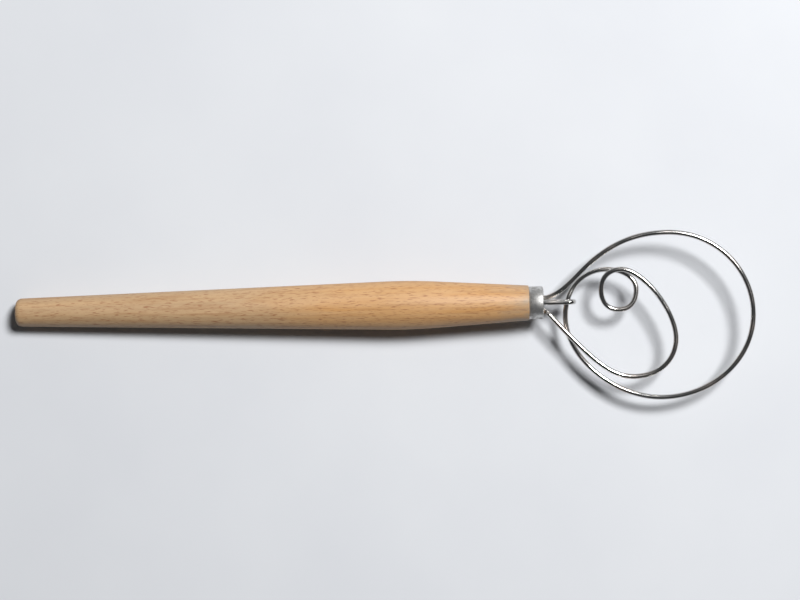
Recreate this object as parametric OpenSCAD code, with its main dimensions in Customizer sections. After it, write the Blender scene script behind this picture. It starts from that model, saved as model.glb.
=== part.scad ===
// Dough whisk: one long stiff wire, bent into a big outer loop, a small coil and a middle loop,
// held in a turned wooden handle by a steel ferrule and a wire staple.
//
// Every piece is drawn about the handle's axis. X runs along that axis, with zero at the
// ferrule's front edge, the handle behind it and the loops ahead. Y runs across the loops and
// Z is the height over the axis. lay_down() then lays the whole tool on the table.

/* [Handle] */
// Length of the wood from the butt end to the shoulder behind the ferrule
handle_len = 264; // [200:1:320]
// Diameter of the flat face at the butt end
butt_face_d = 10.8; // [8:0.2:12.6]
// Length of the rounding between the butt's face and the long taper
butt_round = 3; // [1:0.25:6]
// Diameter of the long taper at the butt end
butt_d = 14.4; // [13:0.2:18]
// Largest diameter of the grip
belly_d = 25; // [22:0.5:32]
// Distance of the largest diameter from the butt end
belly_at = 198; // [150:1:225]
// Radius of the swell that joins the two tapers
belly_round = 300; // [150:10:400]
// Diameter of the wood at its shoulder
shoulder_d = 18; // [17.4:0.2:21]
// Radius of the softened edge at the shoulder
shoulder_round = 0.5; // [0.2:0.1:0.6]

/* [Ferrule] */
// Length of the ferrule
ferrule_len = 7.4; // [5:0.2:14]
// Outer diameter of the ferrule
ferrule_d = 16.8; // [15.4:0.1:17.2]
// Thickness of its sheet steel
ferrule_wall = 0.6; // [0.4:0.1:0.9]
// Width of the lip that is rolled in over the end of the wood
lip_w = 1.8; // [1.2:0.1:2.2]
// Radius of the rolled front edge
edge_round = 0.9; // [0.5:0.1:1.1]
// Clearance between the ferrule and the wood inside it
ferrule_gap = 0.1; // [0.05:0.05:0.2]
// Diameter of the punch mark that stakes the ferrule
punch_d = 0.8; // [0.4:0.1:1.2]
// Depth of the punch mark
punch_depth = 0.3; // [0.1:0.05:0.35]
// Distance of the punch mark from the ferrule's front edge
punch_back = 1.4; // [1:0.1:3]
// Angle of the punch mark from the top of the ferrule
punch_turn = 22; // [-60:1:60]

/* [Wire] */
// Diameter of the wire
wire_d = 2.6; // [2:0.1:2.8]
// Clear gap between two strands where one passes over the other
strand_gap = 0.5; // [0.45:0.05:1.5]
// Depth of each end of the wire in the handle, from the ferrule's front edge
leg_in = 38; // [20:1:60]
// Clearance round a wire in its drilled hole
hole_gap = 0.1; // [0.05:0.05:0.2]
// Angle at which the loops rise away from the handle's axis
head_rise = 2; // [0:0.5:6]

/* [Outer loop] */
// Place across the axis of the end that starts the outer loop
outer_leg_y = 2.4; // [2.2:0.1:3]
// Place along the axis where that end starts to bend
outer_leg_x = 0.5; // [0:0.1:2]
// Angle at which the wire leaves the neck for the outer loop
outer_lean = 46; // [38:1:52]
// Place along the axis where it has that angle
outer_lean_x = 17.5; // [16:0.1:20]
// Place across the axis where it has that angle
outer_lean_y = 13.7; // [13:0.1:15]
// Distance from the axis to the upper side of the outer loop
outer_up = 34.8; // [31:0.2:42]
// Place of that side along the axis
outer_up_x = 63.5; // [58:0.5:70]
// Distance from the ferrule to the far end of the outer loop
outer_reach = 106.8; // [95:0.2:125]
// Place of that far end across the axis
outer_reach_y = -7.5; // [-15:0.5:0]
// Distance from the axis to the lower side of the outer loop
outer_down = 49.7; // [47:0.1:58]
// Place of that side along the axis
outer_down_x = 60; // [54:0.5:66]
// Place along the axis where the wire comes back across the neck
neck_x = 11.3; // [10.5:0.1:13]
// Place across the axis where it does so
neck_y = -7.7; // [-8.5:0.1:-7]

/* [Small coil] */
// Width of the coil along the axis
coil_w = 18; // [16:0.2:20]
// Width of the coil across the axis
coil_h = 20.6; // [18:0.2:23]
// Distance from the ferrule to the middle of the coil
coil_x = 38.6; // [37:0.2:42]
// Distance of the coil's middle above the axis
coil_y = 6.1; // [4.5:0.1:7]
// Distance behind the coil's middle where the wire comes to its upper side
coil_entry = 5.8; // [4.6:0.1:7]
// Distance ahead of the coil's middle where the wire leaves its upper side
coil_exit = 1.2; // [0.5:0.1:2]

/* [Middle loop] */
// Distance from the ferrule to the far end of the middle loop
middle_reach = 67.3; // [60:0.1:75]
// Place of that far end across the axis
middle_reach_y = -19.2; // [-22:0.2:-14]
// Distance from the axis to the lower side of the middle loop
middle_down = 38.6; // [35:0.1:42]
// Place of that side along the axis
middle_down_x = 45.8; // [42:0.1:50]
// Angle at which the middle loop comes back to the neck
middle_lean = 48; // [42:1:54]
// Place along the axis where it starts to bend into the handle
middle_lean_x = 3.5; // [3:0.1:5]
// Place across the axis where it does so
middle_lean_y = -6.7; // [-7.2:0.1:-6.4]
// Place across the axis of the end that finishes the middle loop
middle_leg_y = -3.85; // [-4:0.05:-3.5]
// Place along the axis where that end is straight again
middle_leg_x = -1.5; // [-1.8:0.1:-1]

/* [Keeper] */
// Place of the keeper across the axis
keeper_y = 0.1; // [-0.3:0.1:0.2]
// Clearance between the keeper and the strand that it holds
keeper_gap = 0.2; // [0.1:0.05:0.4]
// Distance from that strand to the middle of the keeper's bend
keeper_slack = 0.4; // [0:0.1:1]
// Depth of the keeper's legs in the handle, from the ferrule's front edge
keeper_in = 26; // [15:1:40]

/* [On the table] */
// Angle by which the whole tool is rolled about its handle
roll = 2.5; // [0:0.5:10]

/* [Hidden] */
round_fn = 96;
wire_fn = 48;
wood_colour = "burlywood";
zinc_colour = "darkgray";
steel_colour = "silver";

// Handle outline. Each taper is a tangent of the belly's arc, so it runs straight from the
// diameter at its own end to the place where it touches that arc.
shoulder_x = -ferrule_len;
butt_x = shoulder_x - handle_len;
belly_centre = [butt_x + belly_at, belly_d / 2 - belly_round];
function bearing(p) = atan2(p[1] - belly_centre[1], p[0] - belly_centre[0]);
function swing(p) = acos(belly_round / norm(p - belly_centre));
butt_end = [butt_x, butt_d / 2];
shoulder_end = [shoulder_x, shoulder_d / 2];
rear_angle = bearing(butt_end) - swing(butt_end);
front_angle = bearing(shoulder_end) + swing(shoulder_end);
taper = rear_angle - 90;
belly_steps = 12;
belly_arc = [for (i = [0:belly_steps])
    let (a = rear_angle + (front_angle - rear_angle) * i / belly_steps)
    belly_centre + belly_round * [cos(a), sin(a)]];
butt_steps = 8;
butt_face_r = butt_face_d / 2;
butt_side_r = butt_d / 2 + butt_round * tan(taper);
butt_arc = [for (i = [0:butt_steps])
    let (a = 90 * i / butt_steps)
    [butt_x + butt_round * (1 - cos(a)), butt_face_r + (butt_side_r - butt_face_r) * sin(a)]];
shoulder_steps = 5;
shoulder_arc = [for (i = [0:shoulder_steps])
    let (a = 90 - 90 * i / shoulder_steps)
    shoulder_end + shoulder_round * [cos(a) - 1, sin(a) - 1]];
tenon_r = ferrule_d / 2 - ferrule_wall - ferrule_gap;
tenon_front = -ferrule_wall - ferrule_gap;

// The wire's route over the loops. Each entry is a place, the heading there in degrees, and how
// full the bend to the next entry is, where 1 is a quarter of an ellipse.
coil_top = coil_y + coil_h / 2;
coil_bottom = coil_y - coil_h / 2;
route = [
    [[outer_leg_x, outer_leg_y], 0, 1],
    [[outer_lean_x, outer_lean_y], outer_lean, 1.09],
    [[outer_up_x, outer_up], 0, 1],
    [[outer_reach, outer_reach_y], -90, 1],
    [[outer_down_x, -outer_down], -180, 0.9],
    [[neck_x, neck_y], -270, 1.07],
    [[coil_x - coil_entry, coil_top], -360, 1],
    [[coil_x + coil_w / 2, coil_y], -450, 1.15],
    [[coil_x, coil_bottom], -540, 1.15],
    [[coil_x - coil_w / 2, coil_y], -630, 1.1],
    [[coil_x + coil_exit, coil_top], -720, 0.72],
    [[middle_reach, middle_reach_y], -810, 1.06],
    [[middle_down_x, -middle_down], -900, 1.25],
    [[middle_lean_x, middle_lean_y], -900 - middle_lean, 1],
    [[middle_leg_x, middle_leg_y], -900, 1]
];
spans = len(route) - 1;

// A bend from one entry to the next. Its two inner points lie on the headings of its ends,
// part of the way to the corner where those headings meet.
function aim(a) = [cos(a), sin(a)];
function turn_of(a, b) = a[0] * b[1] - a[1] * b[0];
function fullness(turn) = 4 / 3 * tan(turn / 4) / tan(turn / 2);
function bend(i) =
    let (from = route[i], to = route[i + 1], a = aim(from[1]), b = aim(to[1]))
    let (chord = to[0] - from[0], full = from[2] * fullness(abs(to[1] - from[1])))
    let (reach_a = turn_of(chord, b) / turn_of(a, b), reach_b = turn_of(a, chord) / turn_of(a, b))
    [from[0], from[0] + full * reach_a * a, to[0] - full * reach_b * b, to[0]];
bends = [for (i = [0:spans - 1]) bend(i)];

// Place on the route at a station. Station 4.5 is half way along the bend after entry 4.
function place(s) =
    let (i = min(floor(s), spans - 1), t = s - i, q = 1 - t, b = bends[i])
    q * q * q * b[0] + 3 * q * q * t * b[1] + 3 * q * t * t * b[2] + t * t * t * b[3];

// The two stations at which two stretches of the route cross, seen from above.
search_steps = 24;
function between(range, i) = range[0] + (range[1] - range[0]) * i / search_steps;
function crossing(first, second) =
    let (pairs = [for (i = [0:search_steps], j = [0:search_steps])
        let (a = between(first, i), b = between(second, j)) [norm(place(a) - place(b)), a, b]])
    let (least = min([for (p = pairs) p[0]]))
    [for (p = pairs) if (p[0] == least) p][0];
neck_pass = crossing([4.5, 5], [12.4, 13]);
under = neck_pass[1];
over = neck_pass[2];
coil_pass = crossing([5.8, 6.5], [9.5, 10]);
coil_in = coil_pass[1];
coil_out = coil_pass[2];
held_offsets = [for (i = [0:search_steps]) abs(place(5 + i / search_steps)[1] - keeper_y)];
held = 5 + search(min(held_offsets), held_offsets)[0] / search_steps;

// Height of the wire over the axis, in layers, at stations along the route. A strand one layer
// below and a strand one layer above pass each other with the strand gap between them.
layer = (wire_d + strand_gap) / 2;
heights = [
    [0, 0], [1, 0.35], [3, -0.4], [4, -1], [under - 0.3, -1.6], [under - 0.05, -1.05],
    [under + 0.05, -1], [held, -0.3], [held + 0.25, -0.9], [coil_in - 0.25, -1.02],
    [coil_in + 0.25, -1.02],
    [8, -0.1], [coil_out - 0.2, 1], [10.2, 1], [11, 0.6], [12, 0.6], [over - 0.06, 1.02],
    [over + 0.05, 1.02], [spans, 0]
];
function ease(t) = t * t * (3 - 2 * t);
function layers_at(s) =
    let (i = max([for (j = [0:len(heights) - 2]) if (s >= heights[j][0]) j]))
    let (a = heights[i], b = heights[i + 1])
    a[1] + (b[1] - a[1]) * ease((s - a[0]) / (b[0] - a[0]));
rise_ease = 10;
function rise_at(x) = x <= 0 ? 0 : tan(head_rise) * x * x / (x + rise_ease);
function point_at(s) =
    let (p = place(s))
    [p[0], p[1], layer * layers_at(s) + rise_at(p[0])];

// Rings along the wire, no farther apart than ring_step nor turned by more than ring_turn.
ring_step = 3;
ring_turn = 10;
function rings_on(i) =
    ceil(max(norm(route[i + 1][0] - route[i][0]) * 1.1 / ring_step,
        abs(route[i + 1][1] - route[i][1]) / ring_turn));
loop_points = [for (i = [0:spans - 1], n = rings_on(i), k = [0:n - 1]) point_at(i + k / n)];
wire_path = concat(
    [[-leg_in, outer_leg_y, 0]],
    loop_points,
    [point_at(spans), [-leg_in, middle_leg_y, 0]]
);

// Least clear gap from the wire to itself, over every two stretches that aren't neighbours.
function clamp(t) = max(0, min(1, t));
function apart(p, u, q, v) =
    let (w = p - q, a = u * u, b = u * v, c = v * v, d = u * w, e = v * w, f = a * c - b * b)
    let (s = f > 0 ? clamp((b * e - c * d) / f) : 0.5, t = clamp((b * s + e) / c))
    norm(w + clamp((b * t - d) / a) * u - t * v);
near_rings = 5;
last_point = len(wire_path) - 1;
least_gap = min([for (i = [0:last_point - 1 - near_rings], j = [i + near_rings:last_point - 1])
    apart(wire_path[i], wire_path[i + 1] - wire_path[i],
        wire_path[j], wire_path[j + 1] - wire_path[j])]) - wire_d;
echo(least_gap = least_gap);

// A tube of triangles swept along points, with rings square to the path.
function unit(v) = v / norm(v);
function heading(p, i) =
    let (back = i > 0 ? unit(p[i] - p[i - 1]) : [0, 0, 0])
    let (ahead = i < len(p) - 1 ? unit(p[i + 1] - p[i]) : [0, 0, 0])
    unit(back + ahead);
module tube(path, d, sides) {
    corners = [for (i = [0:len(path) - 1])
        let (ahead = heading(path, i), side = unit(cross([0, 0, 1], ahead)), up = cross(ahead, side))
        for (k = [0:sides - 1])
            let (a = 360 * (k + 0.5) / sides)
            path[i] + d / 2 * (cos(a) * side + sin(a) * up)];
    walls = [for (i = [0:len(path) - 2], k = [0:sides - 1])
        let (a = i * sides + k, b = i * sides + (k + 1) % sides)
        each [[a, b, b + sides], [a, b + sides, a + sides]]];
    last = (len(path) - 1) * sides;
    caps = [for (k = [1:sides - 2]) each [[0, k + 1, k], [last, last + k, last + k + 1]]];
    polyhedron(corners, concat(walls, caps), convexity = 10);
}

// The keeper's bend goes round the strand that crosses the neck.
held_at = point_at(held);
keeper_r = wire_d + keeper_gap;
keeper_x = held_at[0] + keeper_slack;
keeper_z = held_at[2];

// The tool lies on its long taper. Its middle, seen from above, stands over the origin.
axis_height = (butt_d / 2 - butt_x * tan(taper)) * cos(taper);
function laid(p) =
    let (y = p[1] * cos(roll) - p[2] * sin(roll), z = p[1] * sin(roll) + p[2] * cos(roll))
    [p[0] * cos(taper) - z * sin(taper), y, p[0] * sin(taper) + z * cos(taper) + axis_height];
laid_points = [for (p = loop_points) laid(p)];
butt_low_x = butt_x * cos(taper) - butt_face_r * sin(taper);
reach_x = max([for (p = laid_points) p[0]]) + wire_d / 2;
sides_y = [for (p = laid_points) p[1]];
middle = [(butt_low_x + reach_x) / 2, (min(sides_y) + max(sides_y)) / 2];
module lay_down() {
    translate([-middle[0], -middle[1], axis_height])
        rotate([0, -taper, 0]) rotate([roll, 0, 0]) children();
}

// A solid turned about the X axis from an outline of places along the axis and radii.
module turned(outline) {
    rotate([0, 90, 0]) rotate_extrude($fn = round_fn) polygon([for (p = outline) [p[1], p[0]]]);
}

// A hole drilled back along X from the front of the wood.
drill_extra = 1;
module drill(y, z, depth) {
    translate([-depth - drill_extra, y, z]) rotate([0, 90, 0])
        cylinder(d = wire_d + 2 * hole_gap, h = depth + drill_extra, $fn = wire_fn);
}

module handle() {
    color(wood_colour) lay_down() difference() {
        turned(concat(
            [[butt_x, 0]], butt_arc, belly_arc, shoulder_arc,
            [[shoulder_x, tenon_r], [tenon_front, tenon_r], [tenon_front, 0]]
        ));
        drill(outer_leg_y, 0, leg_in);
        drill(middle_leg_y, 0, leg_in);
        for (side = [-1, 1]) drill(keeper_y, keeper_z + side * keeper_r, keeper_in);
    }
}

edge_steps = 6;
punch_tip_d = 0.2;
module ferrule() {
    r = ferrule_d / 2;
    edge = [for (i = [0:edge_steps])
        let (a = 90 - 90 * i / edge_steps)
        [-edge_round + edge_round * cos(a), r - edge_round + edge_round * sin(a)]];
    color(zinc_colour) lay_down() difference() {
        turned(concat(
            [[shoulder_x, r - ferrule_wall], [shoulder_x, r]], edge,
            [[0, r - lip_w], [-ferrule_wall, r - lip_w], [-ferrule_wall, r - ferrule_wall]]
        ));
        rotate([-punch_turn, 0, 0]) translate([-punch_back, 0, r - punch_depth])
            cylinder(d1 = punch_tip_d, d2 = punch_d, h = punch_depth, $fn = wire_fn);
    }
}

tube_sides = 12;
module whisk_wire() {
    color(steel_colour) lay_down() tube(wire_path, wire_d, tube_sides);
}

module keeper_wire() {
    color(steel_colour) lay_down() translate([keeper_x, keeper_y, keeper_z]) rotate([90, 0, 0]) {
        rotate([0, 0, -90]) rotate_extrude(angle = 180, $fn = round_fn)
            translate([keeper_r, 0]) circle(d = wire_d, $fn = wire_fn);
        for (side = [-1, 1]) translate([0, side * keeper_r, 0]) rotate([0, -90, 0])
            cylinder(d = wire_d, h = keeper_x + keeper_in, $fn = wire_fn);
    }
}

handle();
ferrule();
whisk_wire();
keeper_wire();
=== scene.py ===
"""Dresses the dough whisk: a turned beech handle, a zinc-coated ferrule and drawn stainless wire.

Every piece is made about the handle's axis, in millimetres. X runs along that axis, with zero at
the ferrule's front edge, the handle behind it and the loops ahead. Y runs across the loops and
Z is the height over the axis. The sizes are those of the part's source, and lying() then lays
each piece in the frame, in metres.
"""
import logging
import math
from dataclasses import dataclass, field
from enum import Enum
from typing import NamedTuple

import bmesh
import bpy
from mathutils import Matrix, Vector


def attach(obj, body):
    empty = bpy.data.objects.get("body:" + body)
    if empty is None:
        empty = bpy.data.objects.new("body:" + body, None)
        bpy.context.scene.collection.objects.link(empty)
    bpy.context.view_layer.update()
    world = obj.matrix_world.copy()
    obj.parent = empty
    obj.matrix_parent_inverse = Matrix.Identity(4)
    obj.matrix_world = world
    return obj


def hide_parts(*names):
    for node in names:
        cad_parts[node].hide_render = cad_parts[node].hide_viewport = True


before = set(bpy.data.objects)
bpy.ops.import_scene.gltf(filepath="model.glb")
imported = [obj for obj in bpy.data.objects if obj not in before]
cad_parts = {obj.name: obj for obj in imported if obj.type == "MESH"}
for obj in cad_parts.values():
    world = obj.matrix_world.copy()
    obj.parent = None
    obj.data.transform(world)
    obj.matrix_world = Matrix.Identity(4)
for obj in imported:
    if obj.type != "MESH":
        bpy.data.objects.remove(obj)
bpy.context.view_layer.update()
LOG = logging.getLogger("dough_whisk")
MM = 0.001
BODY = "root"
LATHE_FACES = 160

Spot = tuple[float, float]
Span = tuple[float, float]
Triple = tuple[float, float, float]
Socket = bpy.types.NodeSocket


class Slot(Enum):
    """Material slots, by name."""

    BEECH = "beech"
    ZINC = "galvanised_steel"
    WIRE = "stainless_wire"


class Graph:
    """A node tree, with short ways to add to it."""

    def __init__(self, tree: bpy.types.NodeTree) -> None:
        """Keeps the tree that the nodes go into."""
        self.tree = tree

    def add(self, kind: str, **values: object) -> bpy.types.Node:
        """Adds a node.

        Args:
            kind: the node's type name.
            values: attributes of the node, by name.

        Returns:
            The new node.
        """
        node = self.tree.nodes.new(kind)
        for name, value in values.items():
            setattr(node, name, value)
        return node

    def join(self, output: Socket, socket: Socket) -> None:
        """Links an output to an input."""
        self.tree.links.new(output, socket)

    def place(self, stretch: Triple = (1, 1, 1)) -> Socket:
        """Adds the place on the object.

        Args:
            stretch: a factor for each axis.

        Returns:
            The output that gives the stretched place.
        """
        coordinates = self.add("ShaderNodeTexCoord")
        mapping = self.add("ShaderNodeMapping")
        mapping.inputs["Scale"].default_value = stretch
        self.join(coordinates.outputs["Object"], mapping.inputs["Vector"])
        return mapping.outputs["Vector"]

    def noise(self, place: Socket, scale: float = 1, detail: float = 4, rough: float = 0.5) -> Socket:
        """Adds a noise texture.

        Args:
            place: the output that gives the place.
            scale: the noise's scale.
            detail: its octaves.
            rough: how strong its fine octaves are.

        Returns:
            The noise's value output.
        """
        node = self.add("ShaderNodeTexNoise")
        node.inputs["Scale"].default_value = scale
        node.inputs["Detail"].default_value = detail
        node.inputs["Roughness"].default_value = rough
        self.join(place, node.inputs["Vector"])
        return node.outputs["Fac"]

    def fit(self, value: Socket, old: Span, new: Span = (0, 1)) -> Socket:
        """Maps a value from one range to another, clamped.

        Args:
            value: the output to map.
            old: the range that it comes from.
            new: the range that it goes to.

        Returns:
            The mapped output.
        """
        node = self.add("ShaderNodeMapRange")
        for name, number in zip(("From Min", "From Max", "To Min", "To Max"), (*old, *new)):
            node.inputs[name].default_value = number
        self.join(value, node.inputs["Value"])
        return node.outputs["Result"]

    def mix(self, share: Socket, first: Socket | Triple, second: Socket | Triple) -> Socket:
        """Mixes two colours.

        Args:
            share: the output that gives the second colour's share.
            first: the colour at share 0, an output or a plain colour.
            second: the colour at share 1, an output or a plain colour.

        Returns:
            The mixed colour's output.
        """
        node = self.add("ShaderNodeMix", data_type="RGBA")
        self.join(share, node.inputs["Factor"])
        colour_inputs = [socket for socket in node.inputs if socket.type == "RGBA"]
        for socket, colour in zip(colour_inputs, (first, second)):
            if isinstance(colour, tuple):
                socket.default_value = (*colour, 1)
            else:
                self.join(colour, socket)
        return next(socket for socket in node.outputs if socket.type == "RGBA")

    def combine(self, operation: str, first: Socket, second: Socket | float) -> Socket:
        """Combines two values.

        Args:
            operation: the math node's operation.
            first: an output.
            second: an output or a number.

        Returns:
            The result's output.
        """
        node = self.add("ShaderNodeMath", operation=operation)
        self.join(first, node.inputs[0])
        if isinstance(second, (int, float)):
            node.inputs[1].default_value = second
        else:
            self.join(second, node.inputs[1])
        return node.outputs[0]


class Surface(Graph):
    """A new material with its Principled shader, and short ways to feed that shader."""

    def __init__(self, name: str, metallic: float) -> None:
        """Makes the material.

        Args:
            name: the material's name.
            metallic: 1 for bare metal, 0 for anything else.
        """
        self.material = bpy.data.materials.new(name)
        self.material.use_nodes = True
        super().__init__(self.material.node_tree)
        self.shader = self.tree.nodes["Principled BSDF"]
        self.shader.inputs["Metallic"].default_value = metallic

    def feed(self, output: Socket, name: str) -> None:
        """Links an output to the shader's input of a name."""
        self.join(output, self.shader.inputs[name])

    def emboss(self, height: Socket, depth: float) -> None:
        """Feeds a height to the shader's normal.

        Args:
            height: the output that gives the height, from 0 to 1.
            depth: what a height of 1 stands for, in metres.
        """
        bump = self.add("ShaderNodeBump")
        bump.inputs["Strength"].default_value = 1
        bump.inputs["Distance"].default_value = depth
        self.join(height, bump.inputs["Height"])
        self.feed(bump.outputs["Normal"], "Normal")


@dataclass(frozen=True)
class TarnishAndPaintedReflection:
    """The masks of the patches and specks on both metals, each where a noise passes a threshold: tarnish on
    the zinc, a painted brownish reflection on the wire.
    """

    patches: Span = (0.42, 0.66)
    specks: Span = (0.66, 0.74)

    def group(self) -> bpy.types.NodeTree:
        """Builds the node group.

        Returns:
            A group with Patch Scale and Speck Scale in, and Patches and Specks out.
        """
        tree = bpy.data.node_groups.new("tarnish_and_painted_reflection", "ShaderNodeTree")
        graph = Graph(tree)
        masks = (("Patch Scale", "Patches", self.patches), ("Speck Scale", "Specks", self.specks))
        for scale, mask, _ in masks:
            tree.interface.new_socket(scale, in_out="INPUT", socket_type="NodeSocketFloat")
            tree.interface.new_socket(mask, in_out="OUTPUT", socket_type="NodeSocketFloat")
        given, result = graph.add("NodeGroupInput"), graph.add("NodeGroupOutput")
        place = graph.place()
        for scale, mask, threshold in masks:
            value = graph.noise(place)
            graph.join(given.outputs[scale], value.node.inputs["Scale"])
            graph.join(graph.fit(value, threshold), result.inputs[mask])
        return tree


@dataclass(frozen=True)
class MetalFinish:
    """A metal with patches, small specks and a faint relief: tarnish on the zinc, a painted brownish
    reflection on the wire.
    """

    name: str
    metallic: float
    bare: Triple
    patch: Triple
    speck: Triple
    patch_scale: float
    speck_scale: float
    patch_share: float
    speck_share: float
    roughness: Span
    relief_scale: float
    relief: float

    def material(self, tarnish_and_painted_reflection: bpy.types.NodeTree) -> bpy.types.Material:
        """Makes the material.

        Args:
            tarnish_and_painted_reflection: the group that gives the patches and the specks.

        Returns:
            The finished material.
        """
        surface = Surface(self.name, self.metallic)
        group = surface.add("ShaderNodeGroup", node_tree=tarnish_and_painted_reflection)
        group.inputs["Patch Scale"].default_value = self.patch_scale
        group.inputs["Speck Scale"].default_value = self.speck_scale
        patches, specks = group.outputs["Patches"], group.outputs["Specks"]
        patch_share = surface.combine("MULTIPLY", patches, self.patch_share)
        speck_share = surface.combine("MULTIPLY", specks, self.speck_share)
        patched = surface.mix(patch_share, self.bare, self.patch)
        surface.feed(surface.mix(speck_share, patched, self.speck), "Base Color")
        surface.feed(surface.fit(patches, (0, 1), self.roughness), "Roughness")
        surface.emboss(surface.noise(surface.place(), self.relief_scale), self.relief)
        return surface.material


DULL_ZINC = MetalFinish(
    name="zinc", metallic=0.9, bare=(0.60, 0.60, 0.59), patch=(0.16, 0.15, 0.14), speck=(0.20, 0.08, 0.03),
    patch_scale=520, speck_scale=1500, patch_share=0.6, speck_share=1,
    roughness=(0.36, 0.6), relief_scale=1400, relief=0.00008)
# The wire's brown patch and speck colours are a painted reflection: a brownish tint mixed into the wire's
# own colour.
BRIGHT_WIRE = MetalFinish(
    name="wire", metallic=1, bare=(0.62, 0.615, 0.60), patch=(0.40, 0.31, 0.25), speck=(0.40, 0.31, 0.25),
    patch_scale=90, speck_scale=1800, patch_share=0.5, speck_share=0.5,
    roughness=(0.14, 0.26), relief_scale=900, relief=0.00002)


@dataclass(frozen=True)
class Grain:
    """A stretched noise that lays a colour over the wood where it passes a threshold."""

    stretch: Triple
    detail: float
    rough: float
    threshold: Span
    share: float
    colour: Triple

    def noise(self, surface: Surface) -> Socket:
        """Adds the grain's noise to a surface and gives its output."""
        return surface.noise(surface.place(self.stretch), detail=self.detail, rough=self.rough)

    def over(self, surface: Surface, noise: Socket, below: Socket) -> Socket:
        """Lays the grain's colour over another.

        Args:
            surface: the surface that it goes on.
            noise: the grain's own noise there.
            below: the colour under it.

        Returns:
            The colour with the grain on it.
        """
        return surface.mix(surface.fit(noise, self.threshold, (0, self.share)), below, self.colour)


@dataclass(frozen=True)
class BeechFinish:
    """Dry beech with ray flecks, paler towards the butt, warmer at the belly, worn at the neck.

    Places are metres along the frame's X, and they wander to and fro with a noise.
    """

    butt: Triple = (0.42, 0.275, 0.15)
    belly: Triple = (0.50, 0.265, 0.10)
    worn: Triple = (0.33, 0.25, 0.17)
    warms: Span = (-0.07, -0.03)
    wears: Span = (0.058, 0.0745)
    wander: float = 0.05
    wander_stretch: Triple = (40, 160, 160)
    wander_detail: float = 3
    bands: Grain = Grain((9, 260, 260), 5, 0.6, (0.35, 0.7), 0.55, (0.58, 0.38, 0.205))
    streaks: Grain = Grain((14, 420, 420), 4, 0.7, (0.5, 0.72), 0.6, (0.32, 0.16, 0.065))
    flecks: Grain = Grain((260, 2300, 2300), 2, 0.4, (0.57, 0.68), 0.75, (0.25, 0.095, 0.036))
    wear_stretch: Triple = (120, 300, 300)
    wear_threshold: Span = (0.35, 0.6)
    wear_share: Span = (0.25, 0.8)
    rough_bands: Span = (0.3, 0.7)
    roughness: Span = (0.42, 0.6)
    relief: float = 0.00006
    streak_relief: float = 2

    def along(self, surface: Surface) -> Socket:
        """Adds the place along the handle, wandering to and fro.

        Args:
            surface: the surface that it is added to.

        Returns:
            The output that gives the place.
        """
        axes = surface.add("ShaderNodeSeparateXYZ")
        surface.join(surface.place(), axes.inputs[0])
        noise = surface.noise(surface.place(self.wander_stretch), detail=self.wander_detail)
        moved = surface.combine("ADD", axes.outputs["X"], surface.combine("MULTIPLY", noise, self.wander))
        return surface.combine("SUBTRACT", moved, self.wander / 2)

    def material(self) -> bpy.types.Material:
        """Makes the material.

        Returns:
            The finished material.
        """
        surface = Surface("beech", metallic=0)
        along = self.along(surface)
        colour = surface.mix(surface.fit(along, self.warms), self.butt, self.belly)
        grains = (self.bands, self.streaks, self.flecks)
        bands, streaks, flecks = (grain.noise(surface) for grain in grains)
        colour = self.bands.over(surface, bands, colour)
        colour = self.streaks.over(surface, streaks, colour)
        colour = self.flecks.over(surface, flecks, colour)
        rubbing = surface.noise(surface.place(self.wear_stretch))
        rubbed = surface.fit(rubbing, self.wear_threshold, self.wear_share)
        wear = surface.combine("MULTIPLY", surface.fit(along, self.wears), rubbed)
        surface.feed(surface.mix(wear, colour, self.worn), "Base Color")
        surface.feed(surface.fit(bands, self.rough_bands, self.roughness), "Roughness")
        height = surface.combine("ADD", flecks, surface.combine("MULTIPLY", streaks, self.streak_relief))
        surface.emboss(height, self.relief)
        return surface.material


@dataclass(frozen=True)
class Piece:
    """A piece's name, the CAD node that it stands for and its material slot."""

    name: str
    node: str
    slot: Slot

    def add(self, mesh: bpy.types.Mesh, material: bpy.types.Material) -> None:
        """Adds the piece to the scene and ties it to the frame.

        Args:
            mesh: its mesh, in its place in the frame.
            material: its material.
        """
        mesh.materials.clear()
        mesh.materials.append(material)
        mesh.shade_smooth()
        piece = bpy.data.objects.new(self.name, mesh)
        bpy.context.scene.collection.objects.link(piece)
        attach(piece, BODY)
        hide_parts(self.node)
        LOG.info("%s: %d faces, for node %s", self.name, len(mesh.polygons), self.node)


def arc(centre: Spot, radius: float, start: float, end: float, steps: int) -> list[Spot]:
    """Gives points on an arc.

    Args:
        centre: its centre.
        radius: its radius.
        start: the angle of the first point, in degrees.
        end: the angle of the last point, in degrees.
        steps: how many steps lie between them.

    Returns:
        The points, one more than the steps.
    """
    angles = [math.radians(start + (end - start) * i / steps) for i in range(steps + 1)]
    return [(centre[0] + radius * math.cos(a), centre[1] + radius * math.sin(a)) for a in angles]


def outward(shape: bmesh.types.BMesh, mesh: bpy.types.Mesh) -> None:
    """Turns a closed shape's faces outwards, writes it to a mesh and frees it.

    Args:
        shape: the shape.
        mesh: the mesh that it goes into.
    """
    bmesh.ops.recalc_face_normals(shape, faces=shape.faces)
    shape.to_mesh(mesh)
    shape.free()


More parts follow.
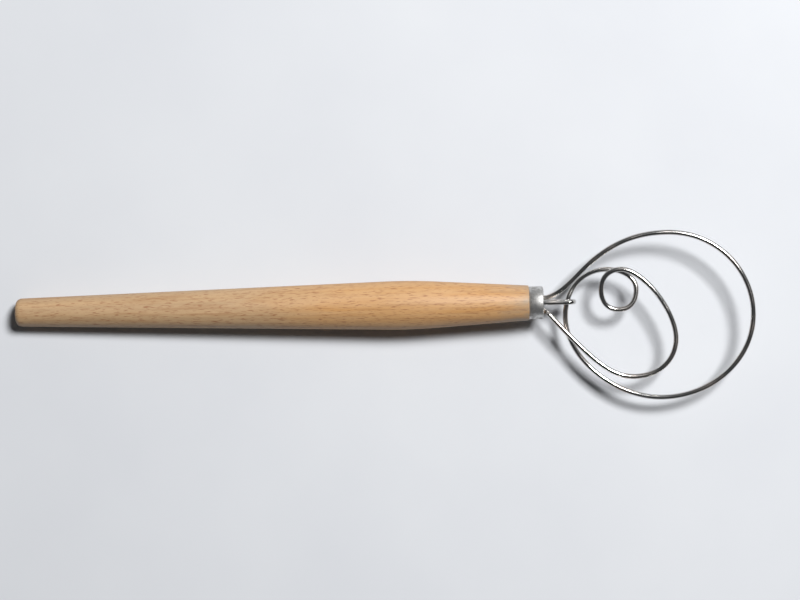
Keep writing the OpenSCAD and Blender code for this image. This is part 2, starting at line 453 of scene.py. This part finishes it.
def lathe(name: str, outline: list[Spot], ring_shaped: bool) -> bpy.types.Mesh:
    """Turns an outline about the X axis.

    Args:
        name: the mesh's name.
        outline: places along the axis and radii.
        ring_shaped: whether the outline's end joins its start; if not, both lie on the axis.

    Returns:
        A closed mesh.
    """
    shape = bmesh.new()
    angles = [math.tau * k / LATHE_FACES for k in range(LATHE_FACES)]
    rings = []
    for x, r in outline:
        if r == 0:
            rings.append([shape.verts.new((x, 0, 0))] * LATHE_FACES)
        else:
            rings.append([shape.verts.new((x, r * math.cos(a), r * math.sin(a))) for a in angles])
    pairs = list(zip(rings, rings[1:]))
    if ring_shaped:
        pairs.append((rings[-1], rings[0]))
    for first, second in pairs:
        for k in range(LATHE_FACES):
            after = (k + 1) % LATHE_FACES
            corners = dict.fromkeys((first[k], first[after], second[after], second[k]))
            shape.faces.new(list(corners))
    mesh = bpy.data.meshes.new(name)
    outward(shape, mesh)
    return mesh


@dataclass
class Grip:
    """The handle and the ferrule on it, with sizes in millimetres."""

    handle_len: float = 264
    butt_face_r: float = 5.4
    butt_round: float = 3
    butt_r: float = 7.2
    belly_r: float = 12.5
    belly_at: float = 198
    belly_round: float = 300
    shoulder_r: float = 9
    shoulder_round: float = 0.5
    ferrule_len: float = 7.4
    ferrule_r: float = 8.4
    ferrule_wall: float = 0.6
    ferrule_gap: float = 0.1
    ferrule_bevel: float = 0.1
    lip_w: float = 1.8
    edge_round: float = 0.9
    butt_steps: int = 10
    belly_steps: int = 40
    shoulder_steps: int = 6
    edge_steps: int = 8
    # Extra rings close to the butt's and the shoulder's corners keep the flats flat when shaded.
    butt_ring: float = 0.97
    shoulder_ring: float = 0.05
    wood: Piece = Piece("turned_handle", "handle", Slot.BEECH)
    cup: Piece = Piece("zinc_ferrule", "ferrule", Slot.ZINC)

    @property
    def butt_x(self) -> float:
        """Gives the butt's place along the axis."""
        return -self.ferrule_len - self.handle_len

    @property
    def belly_centre(self) -> Vector:
        """Gives the centre of the arc that swells into the belly."""
        return Vector((self.butt_x + self.belly_at, self.belly_r - self.belly_round))

    def touch(self, x: float, r: float, side: int) -> float:
        """Finds where a straight taper runs into the belly's arc.

        Args:
            x: the place of the taper's own end along the axis.
            r: the radius there.
            side: 1 for the taper behind the belly, -1 for the one ahead of it.

        Returns:
            The angle of that place on the arc, in degrees.
        """
        away = Vector((x, r)) - self.belly_centre
        swing = math.acos(self.belly_round / away.length)
        return math.degrees(math.atan2(away.y, away.x) - side * swing)

    def taper(self) -> float:
        """Gives the long taper's slope, in degrees."""
        return self.touch(self.butt_x, self.butt_r, 1) - 90

    def build_handle(self) -> bpy.types.Mesh:
        """Turns the handle: a rounded butt, two tapers into the belly's arc, a shoulder, a tenon.

        Returns:
            The mesh, about the axis.
        """
        butt, shoulder = self.butt_x, -self.ferrule_len
        rear = self.touch(butt, self.butt_r, 1)
        front = self.touch(shoulder, self.shoulder_r, -1)
        side_r = self.butt_r + self.butt_round * math.tan(math.radians(self.taper()))
        quarter = [math.pi / 2 * i / self.butt_steps for i in range(self.butt_steps + 1)]
        butt_edge = [
            (butt + self.butt_round * (1 - math.cos(a)),
             self.butt_face_r + (side_r - self.butt_face_r) * math.sin(a))
            for a in quarter]
        belly = arc(self.belly_centre, self.belly_round, rear, front, self.belly_steps)
        soft_centre = (shoulder - self.shoulder_round, self.shoulder_r - self.shoulder_round)
        soft = arc(soft_centre, self.shoulder_round, 90, 0, self.shoulder_steps)
        tenon = self.ferrule_r - self.ferrule_wall - self.ferrule_gap
        tenon_end = -self.ferrule_wall - self.ferrule_gap
        outline = [
            (butt, 0), (butt, self.butt_face_r * self.butt_ring), *butt_edge, *belly, *soft,
            (shoulder, tenon + self.shoulder_ring), (shoulder, tenon), (tenon_end, tenon), (tenon_end, 0)]
        return lathe(self.wood.name, outline, ring_shaped=False)

    def build_ferrule(self) -> bpy.types.Mesh:
        """Turns the ferrule, with a rolled front edge and a lip over the end of the wood.

        Returns:
            The mesh, about the axis.
        """
        r, back, front_wall = self.ferrule_r, -self.ferrule_len, -self.ferrule_wall
        inside = r - self.ferrule_wall
        rolled = arc((-self.edge_round, r - self.edge_round), self.edge_round, 90, 0, self.edge_steps)
        outline = [
            (back, inside), (back, r - self.ferrule_bevel), (back + self.ferrule_bevel, r), *rolled,
            (0, r - self.lip_w), (front_wall, r - self.lip_w), (front_wall, inside)]
        return lathe(self.cup.name, outline, ring_shaped=True)

    def dress(self, lie: Matrix, tarnish_and_painted_reflection: bpy.types.NodeTree) -> None:
        """Builds both pieces, lays them in the frame and gives them their finishes.

        Args:
            lie: the way into the frame.
            tarnish_and_painted_reflection: the metals' group.
        """
        handle, ferrule = self.build_handle(), self.build_ferrule()
        handle.transform(lie)
        ferrule.transform(lie)
        self.wood.add(handle, BeechFinish().material())
        self.cup.add(ferrule, DULL_ZINC.material(tarnish_and_painted_reflection))


class Bend(NamedTuple):
    """A place on the wire's route, the heading there, and how full the bend after it is."""

    place: Spot
    heading: float
    full: float


class Knot(NamedTuple):
    """A station on the route and the wire's height there, in layers."""

    station: float
    layers: float


@dataclass
class Loops:
    """The long wire and the keeper that holds it, with sizes in millimetres and degrees."""

    wire_d: float = 2.6
    strand_gap: float = 0.5
    leg_in: float = 38
    head_rise: float = 2
    rise_ease: float = 10
    outer_leg: Spot = (0.5, 2.4)
    outer_lean: float = 46
    outer_lean_at: Spot = (17.5, 13.7)
    outer_up: Spot = (63.5, 34.8)
    outer_reach: Spot = (106.8, -7.5)
    outer_down: Spot = (60, -49.7)
    neck: Spot = (11.3, -7.7)
    coil_at: Spot = (38.6, 6.1)
    coil_w: float = 18
    coil_h: float = 20.6
    coil_entry: float = 5.8
    coil_exit: float = 1.2
    middle_reach: Spot = (67.3, -19.2)
    middle_down: Spot = (45.8, -38.6)
    middle_lean: float = 48
    middle_lean_at: Spot = (3.5, -6.7)
    middle_leg: Spot = (-1.5, -3.85)
    keeper_y: float = 0.1
    keeper_gap: float = 0.2
    keeper_slack: float = 0.4
    keeper_in: float = 26
    bend_steps: int = 60
    search_steps: int = 24
    keeper_steps: int = 40
    long_wire: Piece = Piece("formed_wire", "whisk_wire", Slot.WIRE)
    staple: Piece = Piece("keeper_staple", "keeper_wire", Slot.WIRE)
    route: list[Bend] = field(init=False)
    heights: list[Knot] = field(init=False)
    held: float = field(init=False)

    def __post_init__(self) -> None:
        """Lays out the route, then the heights of its strands where they pass each other."""
        x, y = self.coil_at
        top, side = y + self.coil_h / 2, self.coil_w / 2
        self.route = [
            Bend(self.outer_leg, 0, 1),
            Bend(self.outer_lean_at, self.outer_lean, 1.09),
            Bend(self.outer_up, 0, 1),
            Bend(self.outer_reach, -90, 1),
            Bend(self.outer_down, -180, 0.9),
            Bend(self.neck, -270, 1.07),
            Bend((x - self.coil_entry, top), -360, 1),
            Bend((x + side, y), -450, 1.15),
            Bend((x, y - self.coil_h / 2), -540, 1.15),
            Bend((x - side, y), -630, 1.1),
            Bend((x + self.coil_exit, top), -720, 0.72),
            Bend(self.middle_reach, -810, 1.06),
            Bend(self.middle_down, -900, 1.25),
            Bend(self.middle_lean_at, -900 - self.middle_lean, 1),
            Bend(self.middle_leg, -900, 1)]
        under, over = self.crossing((4.5, 5), (12.4, 13))
        coil_in, coil_out = self.crossing((5.8, 6.5), (9.5, 10))
        neck_stations = [5 + i / self.search_steps for i in range(self.search_steps + 1)]
        self.held = min(neck_stations, key=lambda station: abs(self.place(station).y - self.keeper_y))
        self.heights = [
            Knot(0, 0), Knot(1, 0.35), Knot(3, -0.4), Knot(4, -1), Knot(under - 0.3, -1.6),
            Knot(under - 0.05, -1.05), Knot(under + 0.05, -1), Knot(self.held, -0.3),
            Knot(self.held + 0.25, -0.9), Knot(coil_in - 0.25, -1.02), Knot(coil_in + 0.25, -1.02),
            Knot(8, -0.1), Knot(coil_out - 0.2, 1), Knot(10.2, 1), Knot(11, 0.6), Knot(12, 0.6),
            Knot(over - 0.06, 1.02), Knot(over + 0.05, 1.02), Knot(self.spans, 0)]

    @property
    def spans(self) -> int:
        """Gives the number of bends."""
        return len(self.route) - 1

    def place(self, station: float) -> Vector:
        """Finds the wire's place, seen from above. Station 4.5 is half way along bend 4.

        The bend is a cubic curve. Its two inner points lie on the headings of its ends, part of
        the way to the corner where those headings meet.

        Args:
            station: the station.

        Returns:
            The place.
        """
        i = min(int(station), self.spans - 1)
        t = station - i
        start, end = self.route[i], self.route[i + 1]
        first, last = Vector(start.place), Vector(end.place)
        ahead, back = (
            Vector((math.cos(math.radians(bend.heading)), math.sin(math.radians(bend.heading))))
            for bend in (start, end))
        turn = math.radians(abs(end.heading - start.heading))
        full = start.full * 4 / 3 * math.tan(turn / 4) / math.tan(turn / 2)
        chord, corner = last - first, ahead.cross(back)
        inner = first + full * chord.cross(back) / corner * ahead
        outer = last - full * ahead.cross(chord) / corner * back
        rest = 1 - t
        return rest**3 * first + 3 * rest**2 * t * inner + 3 * rest * t**2 * outer + t**3 * last

    def crossing(self, first: Span, second: Span) -> Span:
        """Finds the stations at which two stretches of the route cross, seen from above.

        Args:
            first: the stations between which the first stretch lies.
            second: the stations between which the second stretch lies.

        Returns:
            The station on each stretch.
        """
        share = [i / self.search_steps for i in range(self.search_steps + 1)]
        pairs = [
            (first[0] + (first[1] - first[0]) * s, second[0] + (second[1] - second[0]) * t)
            for s in share for t in share]
        return min(pairs, key=lambda pair: (self.place(pair[0]) - self.place(pair[1])).length)

    def height(self, station: float, x: float) -> float:
        """Finds the wire's height over the axis.

        Args:
            station: the station on the route.
            x: the place along the axis there.

        Returns:
            The height.
        """
        layer = (self.wire_d + self.strand_gap) / 2
        rise = math.tan(math.radians(self.head_rise)) * x * x / (x + self.rise_ease) if x > 0 else 0
        i = max(k for k, knot in enumerate(self.heights[:-1]) if station >= knot.station)
        start, end = self.heights[i], self.heights[i + 1]
        t = (station - start.station) / (end.station - start.station)
        return layer * (start.layers + (end.layers - start.layers) * t * t * (3 - 2 * t)) + rise

    def point(self, station: float) -> Vector:
        """Gives the wire's place at a station, with its height."""
        place = self.place(station)
        return Vector((*place, self.height(station, place.x)))

    def loop_points(self) -> list[Vector]:
        """Gives points all along the loops."""
        return [self.point(i / self.bend_steps) for i in range(self.spans * self.bend_steps + 1)]

    def wire_path(self) -> list[Vector]:
        """Gives the long wire's path, with its straight ends in the handle."""
        ends = [Vector((-self.leg_in, leg[1], 0)) for leg in (self.outer_leg, self.middle_leg)]
        return [ends[0], *self.loop_points(), ends[1]]

    def keeper_path(self) -> list[Vector]:
        """Finds the keeper's path, a hairpin round the strand that crosses the neck.

        Returns:
            The path's points, from the end of its lower leg to the end of its upper one.
        """
        strand = self.point(self.held)
        r = self.wire_d + self.keeper_gap
        hairpin = arc((strand.x + self.keeper_slack, strand.z), r, -90, 90, self.keeper_steps)
        flat = [(-self.keeper_in, strand.z - r), *hairpin, (-self.keeper_in, strand.z + r)]
        return [Vector((x, self.keeper_y, z)) for x, z in flat]

    def dress(self, lie: Matrix, tarnish_and_painted_reflection: bpy.types.NodeTree) -> None:
        """Draws both wires, lays them in the frame and gives them their finish.

        Args:
            lie: the way into the frame.
            tarnish_and_painted_reflection: the metals' group.
        """
        material = BRIGHT_WIRE.material(tarnish_and_painted_reflection)
        draw = WireDraw(radius=self.wire_d / 2 * MM, material=material)
        for piece, path in ((self.long_wire, self.wire_path()), (self.staple, self.keeper_path())):
            piece.add(draw.along(piece.name, [lie @ place for place in path]), material)


@dataclass
class WireDraw:
    """Geometry Nodes that draw a round wire along a path, with its radius in metres."""

    radius: float
    material: bpy.types.Material
    sides: int = 28
    tree: bpy.types.NodeTree = field(init=False)

    def __post_init__(self) -> None:
        """Builds the tree, with Radius, Sides and Finish as its inputs."""
        self.tree = bpy.data.node_groups.new("drawn_wire", "GeometryNodeTree")
        inputs = {
            "Geometry": "NodeSocketGeometry", "Radius": "NodeSocketFloat", "Sides": "NodeSocketInt",
            "Finish": "NodeSocketMaterial"}
        for name, kind in inputs.items():
            self.tree.interface.new_socket(name, in_out="INPUT", socket_type=kind)
        self.tree.interface.new_socket("Geometry", in_out="OUTPUT", socket_type="NodeSocketGeometry")
        graph = Graph(self.tree)
        given, result = graph.add("NodeGroupInput"), graph.add("NodeGroupOutput")
        ring = graph.add("GeometryNodeCurvePrimitiveCircle")
        sweep = graph.add("GeometryNodeCurveToMesh")
        sweep.inputs["Fill Caps"].default_value = True
        real = graph.add("GeometryNodeRealizeInstances")
        finish = graph.add("GeometryNodeSetMaterial")
        graph.join(given.outputs["Radius"], ring.inputs["Radius"])
        graph.join(given.outputs["Sides"], ring.inputs["Resolution"])
        graph.join(given.outputs["Geometry"], sweep.inputs["Curve"])
        graph.join(ring.outputs["Curve"], sweep.inputs["Profile Curve"])
        graph.join(sweep.outputs["Mesh"], real.inputs["Geometry"])
        graph.join(real.outputs["Geometry"], finish.inputs["Geometry"])
        graph.join(given.outputs["Finish"], finish.inputs["Material"])
        graph.join(finish.outputs["Geometry"], result.inputs["Geometry"])

    def along(self, name: str, path: list[Vector]) -> bpy.types.Mesh:
        """Draws the wire along a path.

        Args:
            name: the mesh's name.
            path: the path's points, in their place in the frame.

        Returns:
            A plain closed mesh.
        """
        curve = bpy.data.curves.new(name, "CURVE")
        curve.dimensions = "3D"
        spline = curve.splines.new("POLY")
        spline.points.add(len(path) - 1)
        for point, place in zip(spline.points, path):
            point.co = (*place, 1)
        carrier = bpy.data.objects.new(name + "_path", curve)
        bpy.context.scene.collection.objects.link(carrier)
        modifier = carrier.modifiers.new("draw", "NODES")
        modifier.node_group = self.tree
        values = {"Radius": self.radius, "Sides": self.sides, "Finish": self.material}
        for item in self.tree.interface.items_tree:
            if item.in_out == "INPUT" and item.name in values:
                modifier[item.identifier] = values[item.name]
        bpy.context.view_layer.update()
        drawn = carrier.evaluated_get(bpy.context.evaluated_depsgraph_get())
        mesh = bpy.data.meshes.new_from_object(drawn)
        bpy.data.objects.remove(carrier)
        mesh.name = name
        shape = bmesh.new()
        shape.from_mesh(mesh)
        outward(shape, mesh)
        return mesh


def lying(grip: Grip, loops: Loops, roll: float = 2.5) -> Matrix:
    """Finds how the tool lies: on its long taper, with its middle over the origin.

    Args:
        grip: the handle and the ferrule.
        loops: the wires.
        roll: the angle by which the tool is rolled about its handle, in degrees.

    Returns:
        The way from the tool's own millimetres to the frame's metres.
    """
    taper = math.radians(grip.taper())
    turn = Matrix.Rotation(-taper, 4, "Y") @ Matrix.Rotation(math.radians(roll), 4, "X")
    axis_height = (grip.butt_r - grip.butt_x * math.tan(taper)) * math.cos(taper)
    laid = [turn @ point for point in loops.loop_points()]
    rear = grip.butt_x * math.cos(taper) - grip.butt_face_r * math.sin(taper)
    reach = max(point.x for point in laid) + loops.wire_d / 2
    sides = [point.y for point in laid]
    middle = ((rear + reach) / 2, (min(sides) + max(sides)) / 2)
    shift = Matrix.Translation((-middle[0], -middle[1], axis_height))
    return Matrix.Scale(MM, 4) @ shift @ turn


@dataclass(frozen=True)
class Lamp:
    """A soft lamp that shines at the part, with its place and size in metres, power in watts."""

    name: str
    place: Triple
    size: Spot
    power: float

    def hang(self) -> None:
        """Adds the lamp to the scene."""
        light = bpy.data.lights.new(self.name, "AREA")
        light.shape = "RECTANGLE"
        light.size, light.size_y = self.size
        light.energy = self.power
        lamp = bpy.data.objects.new(self.name, light)
        lamp.location = self.place
        lamp.rotation_euler = (-Vector(self.place)).to_track_quat("-Z", "Y").to_euler()
        bpy.context.scene.collection.objects.link(lamp)


@dataclass
class Studio:
    """The pale table, the lights and the camera over it, in metres and degrees."""

    window: Lamp = Lamp("window", (0.75, 0.77, 1.75), (0.56, 0.56), 61)
    card: Lamp = Lamp("card", (0.1, 1.3, 0.55), (1.6, 0.7), 0.6)
    room_colour: Triple = (0.92, 0.95, 1)
    room_strength: float = 0.05
    table_size: float = 6
    table_dull: Triple = (0.575, 0.59, 0.62)
    table_clear: Triple = (0.61, 0.625, 0.65)
    table_roughness: float = 0.85
    cloud_scale: float = 9
    cloud_detail: float = 6
    cloud_range: Span = (0.3, 0.7)
    camera_distance: float = 0.95
    camera_over: Spot = (0.00834, 0.01023)
    camera_turn: float = -1.1
    picture_plane: float = 0.0135
    picture_width: float = 0.4108
    sensor_mm: float = 36

    def hang_camera(self) -> None:
        """Hangs the camera straight over the table, turned as the photograph is."""
        lens = bpy.data.cameras.new("overhead")
        lens.sensor_width = self.sensor_mm
        lens.lens = self.sensor_mm * self.camera_distance / self.picture_width
        camera = bpy.data.objects.new("overhead", lens)
        camera.location = (*self.camera_over, self.picture_plane + self.camera_distance)
        camera.rotation_euler = (0, 0, math.radians(self.camera_turn))
        bpy.context.scene.collection.objects.link(camera)
        bpy.context.scene.camera = camera

    def light(self) -> None:
        """Sets the window light from the upper right, a long faint card and a dim room."""
        self.window.hang()
        self.card.hang()
        world = bpy.data.worlds.new("room")
        bpy.context.scene.world = world
        world.use_nodes = True
        background = world.node_tree.nodes["Background"]
        background.inputs["Color"].default_value = (*self.room_colour, 1)
        background.inputs["Strength"].default_value = self.room_strength
        bpy.context.scene.view_settings.view_transform = "Standard"

    def lay_table(self) -> None:
        """Lays the pale table, which is faintly clouded."""
        surface = Surface("pale_table", metallic=0)
        cloud = surface.noise(surface.place(), self.cloud_scale, self.cloud_detail)
        clear = surface.fit(cloud, self.cloud_range)
        surface.feed(surface.mix(clear, self.table_dull, self.table_clear), "Base Color")
        surface.shader.inputs["Roughness"].default_value = self.table_roughness
        bpy.ops.mesh.primitive_plane_add(size=self.table_size)
        table = bpy.context.object
        table.name = "table"
        table.data.materials.append(surface.material)


def main() -> None:
    """Sets the studio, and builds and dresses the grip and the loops."""
    logging.basicConfig(level=logging.INFO)
    studio = Studio()
    studio.hang_camera()
    studio.light()
    studio.lay_table()
    tarnish_and_painted_reflection = TarnishAndPaintedReflection().group()
    grip, loops = Grip(), Loops()
    lie = lying(grip, loops)
    grip.dress(lie, tarnish_and_painted_reflection)
    loops.dress(lie, tarnish_and_painted_reflection)


if __name__ == "__main__":
    main()
